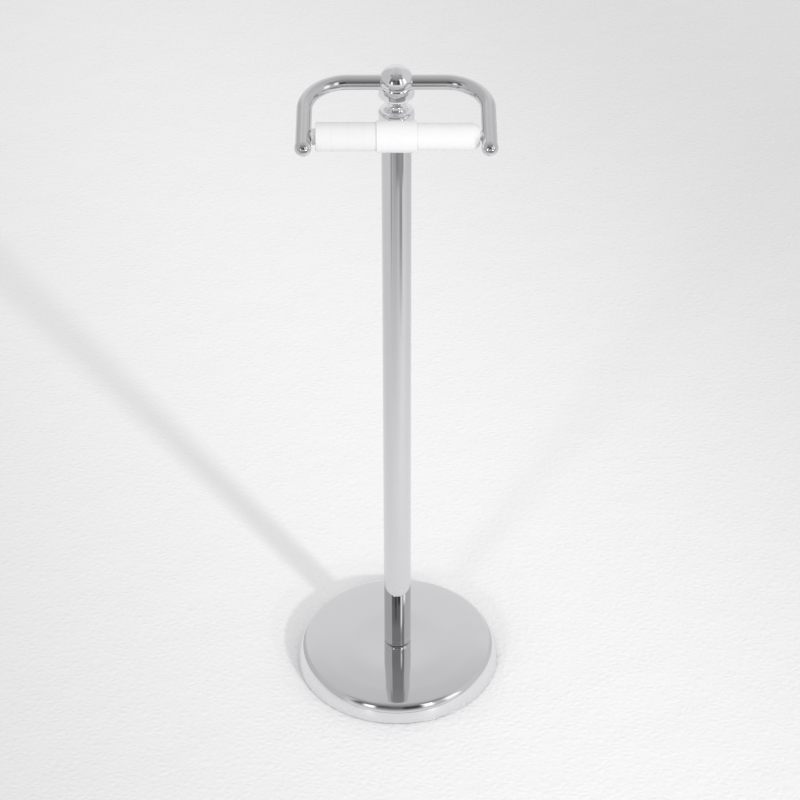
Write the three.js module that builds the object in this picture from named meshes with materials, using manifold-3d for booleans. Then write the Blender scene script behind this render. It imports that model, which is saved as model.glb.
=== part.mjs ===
// Freestanding toilet paper holder: a weighted round base, a straight pole and a bent tube yoke
// that holds a spring-loaded roller. Millimetres, +Z up, the front faces -Y.
// The origin is on the floor, on the pole's axis.
import * as THREE from 'three';
import { mergeVertices } from 'three/addons/utils/BufferGeometryUtils.js';
import Module from 'manifold-3d';

// Clearance between a piece and the piece that it is cut by or turns beside
const GAP = 0.3;

// Base: soft ring, iron disc and polished shell
const PAD_RADIUS = 91;
const PAD_HOLE_RADIUS = 18;
const PAD_THICKNESS = 2;
const SHELL_TOP_Z = 20.8;
const SHELL_THICKNESS = 1;
const SHELL_FLAT_RADIUS = 69;
const SHELL_CROWN_RADIUS = 167;
const SHELL_CROWN_TURN = 6;
const SHELL_SHOULDER_RADIUS = 6.3;
const SHELL_SHOULDER_TURN = 61;
const SHELL_SKIRT_RADIUS = 37;
const SHELL_WALL_TURN = 82;
const SHELL_RIM_RADIUS = 96;
const SHELL_RIM_Z = 0.6;
const SHELL_BEAD_HEIGHT = 1.1;
const WEIGHT_RADIUS = 90.5;
const WEIGHT_EDGE_Z = 13.2;
const WEIGHT_EDGE_DROP = 2.7;
const WEIGHT_FLAT_RADIUS = 66;
const RECESS_RADIUS = 14;
const RECESS_CEILING_Z = 15.9;

// Bolt that holds base and pole together, M8
const BOLT_RADIUS = 4 - GAP / 3;
const BOLT_HOLE_RADIUS = 4.3;
const BOLT_HEAD_ACROSS_FLATS = 13;
const BOLT_HEAD_HEIGHT = 5.3;
const BOLT_LENGTH = 30;
const WASHER_RADIUS = 8;
const WASHER_THICKNESS = 1.6;
const LOCK_WASHER_RADIUS = 7.4;
const LOCK_WASHER_THICKNESS = 2;
const LOCK_WASHER_SLIT = 1.2;
const FOOT_WASHER_RADIUS = 9.8;
const FOOT_WASHER_THICKNESS = 0.5;

// Pole: 1 inch tube with a turned foot, a plug and a cap
const POLE_RADIUS = 12.7;
const POLE_WALL = 1;
const FOOT_HEIGHT = 6.2;
const FOOT_EDGE_RADIUS = 2.5;
const FOOT_SPIGOT_HEIGHT = 21;
const FOOT_BORE_DEPTH = 24.5;
const SPIGOT_PLAY = 0.2;
const SEAM_CHAMFER = 0.3;
const POLE_TOP_Z = 601;
const PLUG_HEIGHT = 22;
const CAP_RADIUS = 15.1;
const CAP_BOTTOM_Z = 590;
const CAP_EDGE_Z = 610;
const CAP_CORNER_RADIUS = 3.2;
const NECK_RADIUS = 7.5;
const NECK_BOTTOM_Z = 617;
const NECK_TOP_Z = 619;

// Hub: bulb and ball on the neck, clamped round the cross tube by a stud, M6
const HUB_WASHER_RADIUS = 7.2;
const HUB_WASHER_THICKNESS = 0.6;
const BULB_RADIUS = 15.15;
const BULB_WIDEST_Z = 624.8;
const BULB_LOWER_HEIGHT = 5;
const BULB_UPPER_HEIGHT = 10.6;
const BULB_UPPER_DEPTH = 4;
const BULB_TOP_Z = 633.4;
const BALL_RADIUS = 14.5;
const BALL_CENTRE_Z = 635.5;
const WAIST_STEP = 0.3;
const STUD_RADIUS = 3 - GAP / 3;
const STUD_HOLE_RADIUS = 3.3;
const STUD_BOTTOM_Z = 581;
const STUD_TOP_Z = 645.5;
const DOME_BORE_TOP_Z = 646;

// Yoke: 1/2 inch tube bent to a U, with its plane tipped down towards the front
const YOKE_TUBE_RADIUS = 6.35;
const YOKE_WALL = 1;
const YOKE_AXIS_Z = 635;
const YOKE_TILT = 7;
const YOKE_HALF_SPAN = 74.6;
const YOKE_BEND_RADIUS = 35.5;
const BALL_END_REACH = 85.6;
const BALL_END_RADIUS = 6.8;
const BALL_END_SETBACK = 1;
const BALL_END_SPIGOT = 7.5;

// Roller: two plastic halves, one sliding in the other's sleeve, pushed apart by a spring
const ROLLER_REACH = 71.1;
const PIN_RADIUS = 3.75;
const PIN_HOLE_RADIUS = 4.25;
const PIN_END = 73.8;
const PIN_TIP_CHAMFER = 0.6;
const ROLLER_WALL = 1.2;
const PLUG_TUBE_RADIUS = 11.7;
const PLUG_SHOULDER_X = -64.7;
const PLUG_STUB_RADIUS = 6.65;
const PLUG_STUB_X = -67.9;
const PLUG_INNER_END_X = 0;
const PLUG_EDGE_RADIUS = 0.8;
const SLEEVE_RADIUS = 12.9;
const SLEEVE_START_X = -16;
const SLEEVE_END_X = 16.5;
const SLEEVE_CORNER = 0.6;
const SOCKET_TUBE_RADIUS = 10.9;
const SOCKET_TAPER_X = 62.3;
const SOCKET_TIP_X = 67;
const SOCKET_TIP_RADIUS = 7.5;

// Spring
const SPRING_WIRE_RADIUS = 0.6;
const SPRING_COIL_RADIUS = 7;
const SPRING_TURNS = 20;
const SPRING_CLOSED_PITCH = 1.7;
const SPRING_STEPS_PER_TURN = 8;
const SPRING_WIRE_SIDES = 5;

// Facets round each form
const BASE_SEGMENTS = 64;
const HIDDEN_BASE_SEGMENTS = 48;
const POLE_SEGMENTS = 32;
const SMALL_SEGMENTS = 24;
const YOKE_SIDES = 24;
const YOKE_BORE_SIDES = 12;
const BEND_STEPS = 10;
const WASHER_CURVE_SEGMENTS = 12;

const wasm = await Module();
wasm.setup();

const CHROME = { color: 0xc9cbce, roughness: 0.06, metalness: 1 };
const PLATED_STEEL = { color: 0xa9a9a4, roughness: 0.35, metalness: 1 };
const CAST_IRON = { color: 0x3b3b3d, roughness: 0.75, metalness: 0.6 };
const SOFT_PAD = { color: 0x1d1d1f, roughness: 0.95, metalness: 0 };
const WHITE_PLASTIC = { color: 0xf4f4f5, roughness: 0.42, metalness: 0 };
const CLEAR_NYLON = { color: 0xe4e4df, roughness: 0.5, metalness: 0 };

const radians = THREE.MathUtils.degToRad;

// Points on an elliptical arc. Angles in degrees, 0 along +r and 90 along +z.
function arc(centreR, centreZ, radiusR, radiusZ, from, to, steps) {
  const points = [];
  for (let i = 0; i <= steps; i += 1) {
    const angle = radians(from + ((to - from) * i) / steps);
    points.push([centreR + radiusR * Math.cos(angle), centreZ + radiusZ * Math.sin(angle)]);
  }
  return points;
}

// Turned solid about Z. The profile is a loop of [radius, z] points, anticlockwise, and starts and ends
// on the axis where the solid has no bore.
function revolve(profile, segments) {
  const points = profile.map(([r, z]) => new THREE.Vector2(Math.max(r, 0), z));
  const onAxis = profile[0][0] === 0 && profile[profile.length - 1][0] === 0;
  if (!onAxis) {
    points.push(points[0].clone());
  }
  return new THREE.LatheGeometry(points, segments).rotateX(Math.PI / 2);
}

function cylinderAlongZ(radius, fromZ, toZ, segments) {
  const height = toZ - fromZ;
  return new THREE.CylinderGeometry(radius, radius, height, segments)
    .rotateX(Math.PI / 2)
    .translate(0, 0, fromZ + height / 2);
}

function cylinderAlongX(radius, fromX, toX, segments) {
  return cylinderAlongZ(radius, fromX, toX, segments).rotateY(Math.PI / 2);
}

// Closed solid for joining and cutting
function solidOf(geometry) {
  const bare = geometry.clone();
  bare.deleteAttribute('normal');
  bare.deleteAttribute('uv');
  const merged = mergeVertices(bare, 1e-4);
  const index = merged.index.array;
  const triangles = [];
  for (let i = 0; i < index.length; i += 3) {
    const [a, b, c] = [index[i], index[i + 1], index[i + 2]];
    if (a !== b && b !== c && c !== a) {
      triangles.push(a, b, c);
    }
  }
  return new wasm.Manifold(new wasm.Mesh({
    numProp: 3,
    vertProperties: new Float32Array(merged.attributes.position.array),
    triVerts: new Uint32Array(triangles),
  }));
}

function geometryOf(solid) {
  const mesh = solid.getMesh();
  const geometry = new THREE.BufferGeometry();
  geometry.setAttribute('position', new THREE.BufferAttribute(new Float32Array(mesh.vertProperties), 3));
  geometry.setIndex(new THREE.BufferAttribute(new Uint32Array(mesh.triVerts), 1));
  geometry.computeVertexNormals();
  return geometry;
}

function cut(geometry, ...tools) {
  let solid = solidOf(geometry);
  for (const tool of tools) {
    solid = solid.subtract(solidOf(tool));
  }
  return geometryOf(solid);
}

function piece(name, geometry, finish) {
  const mesh = new THREE.Mesh(geometry, new THREE.MeshStandardMaterial(finish));
  mesh.name = name;
  return mesh;
}

function ring(innerRadius, outerRadius, fromZ, toZ, segments) {
  return revolve([
    [innerRadius, fromZ],
    [outerRadius, fromZ],
    [outerRadius, toZ],
    [innerRadius, toZ],
  ], segments);
}

// Base shell's curve from the edge of its flat top to the start of its bead, at a depth under the surface.
// Three arcs follow each other without a corner: crown, shoulder and skirt.
function shellCurve(depth, steps) {
  const arcs = [
    { radius: SHELL_CROWN_RADIUS, endTurn: SHELL_CROWN_TURN },
    { radius: SHELL_SHOULDER_RADIUS, endTurn: SHELL_SHOULDER_TURN },
    { radius: SHELL_SKIRT_RADIUS, endTurn: SHELL_WALL_TURN },
  ];
  const points = [[SHELL_FLAT_RADIUS, SHELL_TOP_Z - depth]];
  let centreR = SHELL_FLAT_RADIUS;
  let centreZ = SHELL_TOP_Z;
  let turn = 0;
  let lastRadius = 0;
  arcs.forEach(({ radius, endTurn }, i) => {
    centreR += (lastRadius - radius) * Math.sin(radians(turn));
    centreZ += (lastRadius - radius) * Math.cos(radians(turn));
    const reach = radius - depth;
    points.push(...arc(centreR, centreZ, reach, reach, 90 - turn, 90 - endTurn, steps[i]).slice(1));
    turn = endTurn;
    lastRadius = radius;
  });
  const [edgeR, edgeZ] = points[points.length - 1];
  const beadZ = SHELL_RIM_Z + SHELL_BEAD_HEIGHT;
  const flare = (edgeZ - beadZ) / Math.tan(radians(SHELL_WALL_TURN));
  return [...points, [edgeR + flare, beadZ]];
}

function baseShell() {
  const outside = shellCurve(0, [3, 7, 3]).reverse();
  const inside = shellCurve(SHELL_THICKNESS, [1, 3, 1]);
  const bead = arc(
    SHELL_RIM_RADIUS - SHELL_BEAD_HEIGHT / 2,
    SHELL_RIM_Z + SHELL_BEAD_HEIGHT / 2,
    SHELL_BEAD_HEIGHT / 2,
    SHELL_BEAD_HEIGHT / 2,
    -90,
    60,
    3,
  );
  const insideEdge = inside[inside.length - 1][0];
  return piece('base_shell', revolve([
    [BOLT_HOLE_RADIUS, SHELL_TOP_Z - SHELL_THICKNESS],
    ...inside,
    [insideEdge, SHELL_RIM_Z],
    ...bead,
    ...outside,
    [BOLT_HOLE_RADIUS, SHELL_TOP_Z],
  ], BASE_SEGMENTS), CHROME);
}

function baseWeight() {
  const underside = SHELL_TOP_Z - SHELL_THICKNESS;
  return piece('base_weight', revolve([
    [BOLT_HOLE_RADIUS, RECESS_CEILING_Z],
    [RECESS_RADIUS, RECESS_CEILING_Z],
    [RECESS_RADIUS, PAD_THICKNESS],
    [WEIGHT_RADIUS, PAD_THICKNESS],
    [WEIGHT_RADIUS, WEIGHT_EDGE_Z],
    [WEIGHT_RADIUS - 3, underside - WEIGHT_EDGE_DROP],
    [WEIGHT_FLAT_RADIUS, underside],
    [BOLT_HOLE_RADIUS, underside],
  ], HIDDEN_BASE_SEGMENTS), CAST_IRON);
}

function basePad() {
  const shape = ring(PAD_HOLE_RADIUS, PAD_RADIUS, 0, PAD_THICKNESS, HIDDEN_BASE_SEGMENTS);
  return piece('base_pad', shape, SOFT_PAD);
}

const WASHER_Z = RECESS_CEILING_Z - WASHER_THICKNESS;
const LOCK_WASHER_Z = WASHER_Z - LOCK_WASHER_THICKNESS;

function baseBolt() {
  const headRadius = BOLT_HEAD_ACROSS_FLATS / 2 / Math.cos(Math.PI / 6);
  const head = cylinderAlongZ(headRadius, LOCK_WASHER_Z - BOLT_HEAD_HEIGHT, LOCK_WASHER_Z, 6);
  const shank = cylinderAlongZ(BOLT_RADIUS, LOCK_WASHER_Z - 1, LOCK_WASHER_Z + BOLT_LENGTH, SMALL_SEGMENTS);
  return piece('base_bolt', geometryOf(solidOf(head).add(solidOf(shank))), PLATED_STEEL);
}

function baseWasher() {
  const shape = ring(BOLT_HOLE_RADIUS, WASHER_RADIUS, WASHER_Z, RECESS_CEILING_Z, SMALL_SEGMENTS);
  return piece('base_washer', shape, PLATED_STEEL);
}

// Spring washer, split on one side
function baseLockWasher() {
  const outerTurn = LOCK_WASHER_SLIT / 2 / LOCK_WASHER_RADIUS;
  const innerTurn = LOCK_WASHER_SLIT / 2 / BOLT_HOLE_RADIUS;
  const outline = new THREE.Shape();
  outline.absarc(0, 0, LOCK_WASHER_RADIUS, outerTurn, 2 * Math.PI - outerTurn, false);
  outline.absarc(0, 0, BOLT_HOLE_RADIUS, 2 * Math.PI - innerTurn, innerTurn, true);
  const shape = new THREE.ExtrudeGeometry(outline, {
    depth: LOCK_WASHER_THICKNESS,
    bevelEnabled: false,
    curveSegments: WASHER_CURVE_SEGMENTS,
  }).translate(0, 0, LOCK_WASHER_Z);
  return piece('base_lock_washer', shape, PLATED_STEEL);
}

const FOOT_BOTTOM_Z = SHELL_TOP_Z + FOOT_WASHER_THICKNESS;
const FOOT_TOP_Z = FOOT_BOTTOM_Z + FOOT_HEIGHT;
const POLE_BORE_RADIUS = POLE_RADIUS - POLE_WALL;

function footWasher() {
  const shape = ring(BOLT_HOLE_RADIUS, FOOT_WASHER_RADIUS, SHELL_TOP_Z, FOOT_BOTTOM_Z, POLE_SEGMENTS);
  return piece('foot_washer', shape, CLEAR_NYLON);
}

function poleFoot() {
  const boreTop = FOOT_BOTTOM_Z + FOOT_BORE_DEPTH;
  const spigotRadius = POLE_BORE_RADIUS - SPIGOT_PLAY;
  const spigotTop = FOOT_TOP_Z + FOOT_SPIGOT_HEIGHT;
  const edge = arc(
    POLE_RADIUS - FOOT_EDGE_RADIUS,
    FOOT_BOTTOM_Z + FOOT_EDGE_RADIUS,
    FOOT_EDGE_RADIUS,
    FOOT_EDGE_RADIUS,
    -90,
    0,
    5,
  );
  return piece('pole_foot', revolve([
    [0, boreTop],
    [BOLT_HOLE_RADIUS, boreTop],
    [BOLT_HOLE_RADIUS, FOOT_BOTTOM_Z],
    ...edge,
    [POLE_RADIUS, FOOT_TOP_Z - SEAM_CHAMFER],
    [POLE_RADIUS - SEAM_CHAMFER, FOOT_TOP_Z],
    [spigotRadius, FOOT_TOP_Z],
    [spigotRadius, spigotTop - 1],
    [spigotRadius - 1, spigotTop],
    [0, spigotTop],
  ], POLE_SEGMENTS), CHROME);
}

function poleTube() {
  return piece('pole_tube', revolve([
    [POLE_BORE_RADIUS, FOOT_TOP_Z],
    [POLE_RADIUS - SEAM_CHAMFER, FOOT_TOP_Z],
    [POLE_RADIUS, FOOT_TOP_Z + SEAM_CHAMFER],
    [POLE_RADIUS, POLE_TOP_Z],
    [POLE_BORE_RADIUS, POLE_TOP_Z],
  ], POLE_SEGMENTS), CHROME);
}

function poleTopPlug() {
  const radius = POLE_BORE_RADIUS - SPIGOT_PLAY;
  const shape = ring(STUD_HOLE_RADIUS, radius, POLE_TOP_Z - PLUG_HEIGHT, POLE_TOP_Z, POLE_SEGMENTS);
  return piece('pole_top_plug', shape, PLATED_STEEL);
}

// Collar that fits over the pole, then a hollow-sided cone up to the neck
function poleCap() {
  const boreRadius = POLE_RADIUS + SPIGOT_PLAY;
  const corner = arc(
    CAP_RADIUS - CAP_CORNER_RADIUS,
    CAP_EDGE_Z - CAP_CORNER_RADIUS,
    CAP_CORNER_RADIUS,
    CAP_CORNER_RADIUS,
    0,
    90,
    5,
  );
  const coneRadius = CAP_RADIUS - CAP_CORNER_RADIUS;
  const cone = arc(
    coneRadius,
    NECK_BOTTOM_Z,
    coneRadius - NECK_RADIUS,
    NECK_BOTTOM_Z - CAP_EDGE_Z,
    -90,
    -180,
    6,
  );
  return piece('pole_cap', revolve([
    [boreRadius, CAP_BOTTOM_Z],
    [CAP_RADIUS - SEAM_CHAMFER, CAP_BOTTOM_Z],
    [CAP_RADIUS, CAP_BOTTOM_Z + SEAM_CHAMFER],
    ...corner,
    ...cone.slice(1),
    [NECK_RADIUS, NECK_TOP_Z],
    [STUD_HOLE_RADIUS, NECK_TOP_Z],
    [STUD_HOLE_RADIUS, POLE_TOP_Z],
    [boreRadius, POLE_TOP_Z],
  ], POLE_SEGMENTS), CHROME);
}

const HUB_BOTTOM_Z = NECK_TOP_Z + HUB_WASHER_THICKNESS;

function hubWasher() {
  const shape = ring(STUD_HOLE_RADIUS, HUB_WASHER_RADIUS, NECK_TOP_Z, HUB_BOTTOM_Z, SMALL_SEGMENTS);
  return piece('hub_washer', shape, CLEAR_NYLON);
}

// Groove that both halves of the hub have for the cross tube
function crossTubeGroove() {
  const reach = BULB_RADIUS + 5;
  return cylinderAlongX(YOKE_TUBE_RADIUS + GAP, -reach, reach, YOKE_SIDES)
    .translate(0, 0, YOKE_AXIS_Z);
}

// Angle on the ball at a height
function ballAngle(z) {
  return THREE.MathUtils.radToDeg(Math.asin((z - BALL_CENTRE_Z) / BALL_RADIUS));
}

function hubBody() {
  const topZ = BALL_CENTRE_Z - GAP / 2;
  const lower = arc(
    NECK_RADIUS,
    BULB_WIDEST_Z,
    BULB_RADIUS - NECK_RADIUS,
    BULB_LOWER_HEIGHT,
    -90,
    0,
    8,
  );
  const upperEnd = THREE.MathUtils.radToDeg(Math.asin((BULB_TOP_Z - BULB_WIDEST_Z) / BULB_UPPER_HEIGHT));
  const upper = arc(
    BULB_RADIUS - BULB_UPPER_DEPTH,
    BULB_WIDEST_Z,
    BULB_UPPER_DEPTH,
    BULB_UPPER_HEIGHT,
    0,
    upperEnd,
    5,
  );
  const band = arc(
    0,
    BALL_CENTRE_Z,
    BALL_RADIUS,
    BALL_RADIUS,
    ballAngle(BULB_TOP_Z + WAIST_STEP),
    ballAngle(topZ),
    2,
  );
  const shape = revolve([
    [STUD_HOLE_RADIUS, HUB_BOTTOM_Z],
    [NECK_RADIUS, HUB_BOTTOM_Z],
    ...lower,
    ...upper.slice(1),
    ...band,
    [STUD_HOLE_RADIUS, topZ],
  ], POLE_SEGMENTS);
  return piece('hub_body', cut(shape, crossTubeGroove()), CHROME);
}

function hubDome() {
  const bottomZ = BALL_CENTRE_Z + GAP / 2;
  const dome = arc(0, BALL_CENTRE_Z, BALL_RADIUS, BALL_RADIUS, ballAngle(bottomZ), 90, 10);
  dome[dome.length - 1][0] = 0;
  const shape = revolve([
    [0, DOME_BORE_TOP_Z],
    [STUD_HOLE_RADIUS, DOME_BORE_TOP_Z],
    [STUD_HOLE_RADIUS, bottomZ],
    ...dome,
  ], POLE_SEGMENTS);
  return piece('hub_dome', cut(shape, crossTubeGroove()), CHROME);
}

function hubStud() {
  const shape = cylinderAlongZ(STUD_RADIUS, STUD_BOTTOM_Z, STUD_TOP_Z, SMALL_SEGMENTS);
  return piece('hub_stud', shape, PLATED_STEEL);
}

const ARM_END = BALL_END_REACH - BALL_END_SETBACK;

// Centre line of the yoke, in its own plane: left arm, bend, cross tube, bend, right arm.
// Each stretch has its own share of the steps, so that the bends get most of them.
class YokeLine extends THREE.Curve {
  constructor() {
    super();
    const straight = YOKE_HALF_SPAN - YOKE_BEND_RADIUS;
    this.stretches = [
      { steps: 1, at: (s) => [-YOKE_HALF_SPAN, -ARM_END + s * (ARM_END - YOKE_BEND_RADIUS)] },
      { steps: BEND_STEPS, at: (s) => YokeLine.bend(-straight, 180 - 90 * s) },
      { steps: 2, at: (s) => [-straight + 2 * straight * s, 0] },
      { steps: BEND_STEPS, at: (s) => YokeLine.bend(straight, 90 - 90 * s) },
      { steps: 1, at: (s) => [YOKE_HALF_SPAN, -YOKE_BEND_RADIUS - s * (ARM_END - YOKE_BEND_RADIUS)] },
    ];
    this.steps = this.stretches.reduce((sum, stretch) => sum + stretch.steps, 0);
  }

  static bend(centreX, angle) {
    const turn = radians(angle);
    return [
      centreX + YOKE_BEND_RADIUS * Math.cos(turn),
      -YOKE_BEND_RADIUS + YOKE_BEND_RADIUS * Math.sin(turn),
    ];
  }

  getPoint(t, target = new THREE.Vector3()) {
    let left = t * this.steps;
    let stretch = this.stretches[0];
    for (stretch of this.stretches) {
      if (left <= stretch.steps) {
        break;
      }
      left -= stretch.steps;
    }
    const [x, y] = stretch.at(Math.min(left / stretch.steps, 1));
    return target.set(x, y, 0);
  }

  getUtoTmapping(u) {
    return u;
  }
}

// Corners of a regular outline
function corners(radius, sides) {
  return Array.from({ length: sides }, (_, i) => {
    const turn = (2 * Math.PI * i) / sides;
    return new THREE.Vector2(radius * Math.cos(turn), radius * Math.sin(turn));
  });
}

function yokeTube() {
  const section = new THREE.Shape(corners(YOKE_TUBE_RADIUS, YOKE_SIDES));
  section.holes.push(new THREE.Path(corners(YOKE_TUBE_RADIUS - YOKE_WALL, YOKE_BORE_SIDES).reverse()));
  const line = new YokeLine();
  const tube = new THREE.ExtrudeGeometry(section, {
    steps: line.steps,
    extrudePath: line,
    bevelEnabled: false,
  });
  const reach = YOKE_TUBE_RADIUS * 2;
  const studHole = cylinderAlongZ(STUD_HOLE_RADIUS, -reach, reach, SMALL_SEGMENTS)
    .rotateX(radians(-YOKE_TILT));
  const inner = YOKE_HALF_SPAN - reach;
  const leftHole = cylinderAlongX(PIN_HOLE_RADIUS, -YOKE_HALF_SPAN, -inner, SMALL_SEGMENTS)
    .translate(0, -ROLLER_REACH, 0);
  const rightHole = cylinderAlongX(PIN_HOLE_RADIUS, inner, YOKE_HALF_SPAN, SMALL_SEGMENTS)
    .translate(0, -ROLLER_REACH, 0);
  return piece('yoke_tube', cut(tube, studHole, leftHole, rightHole), CHROME);
}

// Ball with a spigot that is pressed into the open end of an arm
function ballEnd(name, side) {
  const seatAngle = THREE.MathUtils.radToDeg(Math.asin((-BALL_END_SETBACK + GAP / 2) / BALL_END_RADIUS));
  const ball = arc(0, 0, BALL_END_RADIUS, BALL_END_RADIUS, seatAngle, 90, 8);
  ball[ball.length - 1][0] = 0;
  const spigotRadius = YOKE_TUBE_RADIUS - YOKE_WALL - GAP;
  const spigotEnd = -BALL_END_SETBACK - BALL_END_SPIGOT;
  const shape = revolve([
    [0, spigotEnd],
    [spigotRadius, spigotEnd],
    [spigotRadius, -BALL_END_SETBACK + GAP / 2],
    ...ball,
  ], SMALL_SEGMENTS);
  const mesh = piece(name, shape, CHROME);
  mesh.rotation.x = Math.PI / 2;
  mesh.position.set(side * YOKE_HALF_SPAN, -BALL_END_REACH, 0);
  return mesh;
}

// Left half: tube with a closed end, a stub and a pin. Its open end slides in the other half's sleeve.
function rollerPlug() {
  const bore = PLUG_TUBE_RADIUS - ROLLER_WALL;
  const shoulder = arc(
    PLUG_TUBE_RADIUS - PLUG_EDGE_RADIUS,
    PLUG_SHOULDER_X + PLUG_EDGE_RADIUS,
    PLUG_EDGE_RADIUS,
    PLUG_EDGE_RADIUS,
    -90,
    0,
    3,
  );
  return piece('roller_plug', revolve([
    [0, -PIN_END],
    [PIN_RADIUS - PIN_TIP_CHAMFER, -PIN_END],
    [PIN_RADIUS, -PIN_END + PIN_TIP_CHAMFER],
    [PIN_RADIUS, PLUG_STUB_X],
    [PLUG_STUB_RADIUS, PLUG_STUB_X],
    [PLUG_STUB_RADIUS, PLUG_SHOULDER_X],
    ...shoulder,
    [PLUG_TUBE_RADIUS, PLUG_INNER_END_X],
    [bore, PLUG_INNER_END_X],
    [bore, PLUG_SHOULDER_X + ROLLER_WALL],
    [0, PLUG_SHOULDER_X + ROLLER_WALL],
  ], POLE_SEGMENTS).rotateY(Math.PI / 2), WHITE_PLASTIC);
}

// Right half: wide sleeve, narrower tube, tapered end and a pin
function rollerSocket() {
  const sleeveBore = PLUG_TUBE_RADIUS + SPIGOT_PLAY;
  const tubeBore = SOCKET_TUBE_RADIUS - ROLLER_WALL;
  return piece('roller_socket', revolve([
    [0, SOCKET_TAPER_X - ROLLER_WALL],
    [tubeBore, SOCKET_TAPER_X - ROLLER_WALL],
    [tubeBore, SLEEVE_END_X - ROLLER_WALL],
    [sleeveBore, SLEEVE_END_X - ROLLER_WALL],
    [sleeveBore, SLEEVE_START_X],
    [SLEEVE_RADIUS - SLEEVE_CORNER, SLEEVE_START_X],
    [SLEEVE_RADIUS, SLEEVE_START_X + SLEEVE_CORNER],
    [SLEEVE_RADIUS, SLEEVE_END_X - SLEEVE_CORNER],
    [SLEEVE_RADIUS - SLEEVE_CORNER, SLEEVE_END_X],
    [SOCKET_TUBE_RADIUS, SLEEVE_END_X],
    [SOCKET_TUBE_RADIUS, SOCKET_TAPER_X],
    [SOCKET_TIP_RADIUS, SOCKET_TIP_X],
    [PIN_RADIUS, SOCKET_TIP_X],
    [PIN_RADIUS, PIN_END - PIN_TIP_CHAMFER],
    [PIN_RADIUS - PIN_TIP_CHAMFER, PIN_END],
    [0, PIN_END],
  ], POLE_SEGMENTS).rotateY(Math.PI / 2), WHITE_PLASTIC);
}

// Helix along X between the closed ends of the two halves, with one closely wound turn at each end
class SpringLine extends THREE.Curve {
  constructor(fromX, toX) {
    super();
    this.fromX = fromX;
    this.openTurns = SPRING_TURNS - 2;
    this.openPitch = (toX - fromX - 2 * SPRING_CLOSED_PITCH) / this.openTurns;
  }

  getPoint(t, target = new THREE.Vector3()) {
    const turns = SPRING_TURNS * t;
    const open = THREE.MathUtils.clamp(turns - 1, 0, this.openTurns);
    const closed = turns - open;
    const angle = 2 * Math.PI * turns;
    return target.set(
      this.fromX + closed * SPRING_CLOSED_PITCH + open * this.openPitch,
      SPRING_COIL_RADIUS * Math.cos(angle),
      SPRING_COIL_RADIUS * Math.sin(angle),
    );
  }

  getUtoTmapping(u) {
    return u;
  }
}

// Least distance between the surfaces of the wire in turns that lie beside each other
function leastGap(line, steps) {
  const points = Array.from({ length: steps + 1 }, (_, i) => line.getPoint(i / steps));
  const halfTurn = SPRING_STEPS_PER_TURN / 2;
  let least = Infinity;
  points.forEach((point, i) => {
    for (const other of points.slice(i + halfTurn)) {
      least = Math.min(least, point.distanceTo(other));
    }
  });
  return least - 2 * SPRING_WIRE_RADIUS;
}

function rollerSpring() {
  const seat = SPRING_WIRE_RADIUS + GAP;
  const line = new SpringLine(PLUG_SHOULDER_X + ROLLER_WALL + seat, SOCKET_TAPER_X - ROLLER_WALL - seat);
  const wire = new THREE.Shape(corners(SPRING_WIRE_RADIUS, SPRING_WIRE_SIDES));
  const steps = SPRING_TURNS * SPRING_STEPS_PER_TURN;
  console.log(`roller_spring: least gap to itself ${leastGap(line, steps).toFixed(2)} mm`);
  const shape = new THREE.ExtrudeGeometry(wire, { steps, extrudePath: line, bevelEnabled: false });
  return piece('roller_spring', shape, PLATED_STEEL);
}

function baseGroup() {
  const base = new THREE.Group();
  base.add(basePad(), baseWeight(), baseShell(), baseBolt(), baseWasher(), baseLockWasher());
  return base;
}

function poleGroup() {
  const pole = new THREE.Group();
  pole.add(footWasher(), poleFoot(), poleTube(), poleTopPlug(), poleCap());
  return pole;
}

function hubGroup() {
  const hub = new THREE.Group();
  hub.add(hubWasher(), hubBody(), hubDome(), hubStud());
  return hub;
}

function yokeGroup() {
  const yoke = new THREE.Group();
  yoke.position.z = YOKE_AXIS_Z;
  yoke.rotation.x = radians(YOKE_TILT);
  yoke.add(yokeTube(), ballEnd('left_ball_end', -1), ballEnd('right_ball_end', 1));
  return yoke;
}

function rollerGroup() {
  const roller = new THREE.Group();
  const tilt = radians(YOKE_TILT);
  roller.position.set(0, -ROLLER_REACH * Math.cos(tilt), YOKE_AXIS_Z - ROLLER_REACH * Math.sin(tilt));
  roller.add(rollerPlug(), rollerSocket(), rollerSpring());
  return roller;
}

const group = new THREE.Group();
group.add(baseGroup(), poleGroup(), hubGroup(), yokeGroup(), rollerGroup());

export default group;
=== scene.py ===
import math

import bmesh
import bpy
from mathutils import Matrix, Vector


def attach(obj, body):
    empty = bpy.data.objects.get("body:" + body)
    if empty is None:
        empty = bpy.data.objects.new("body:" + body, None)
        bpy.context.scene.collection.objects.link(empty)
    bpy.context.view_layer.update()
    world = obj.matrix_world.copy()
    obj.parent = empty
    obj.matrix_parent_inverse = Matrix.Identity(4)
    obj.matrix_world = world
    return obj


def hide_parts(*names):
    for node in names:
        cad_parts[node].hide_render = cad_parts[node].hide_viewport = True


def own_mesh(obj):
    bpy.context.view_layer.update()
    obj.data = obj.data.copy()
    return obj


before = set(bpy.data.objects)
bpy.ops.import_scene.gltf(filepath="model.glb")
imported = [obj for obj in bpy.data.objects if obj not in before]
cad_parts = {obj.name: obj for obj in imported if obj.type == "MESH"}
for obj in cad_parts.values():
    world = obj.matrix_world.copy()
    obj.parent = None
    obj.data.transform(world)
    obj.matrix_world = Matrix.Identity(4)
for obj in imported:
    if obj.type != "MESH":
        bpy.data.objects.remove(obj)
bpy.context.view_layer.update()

MM = 0.001
FULL_TURN = 2 * math.pi

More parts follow.
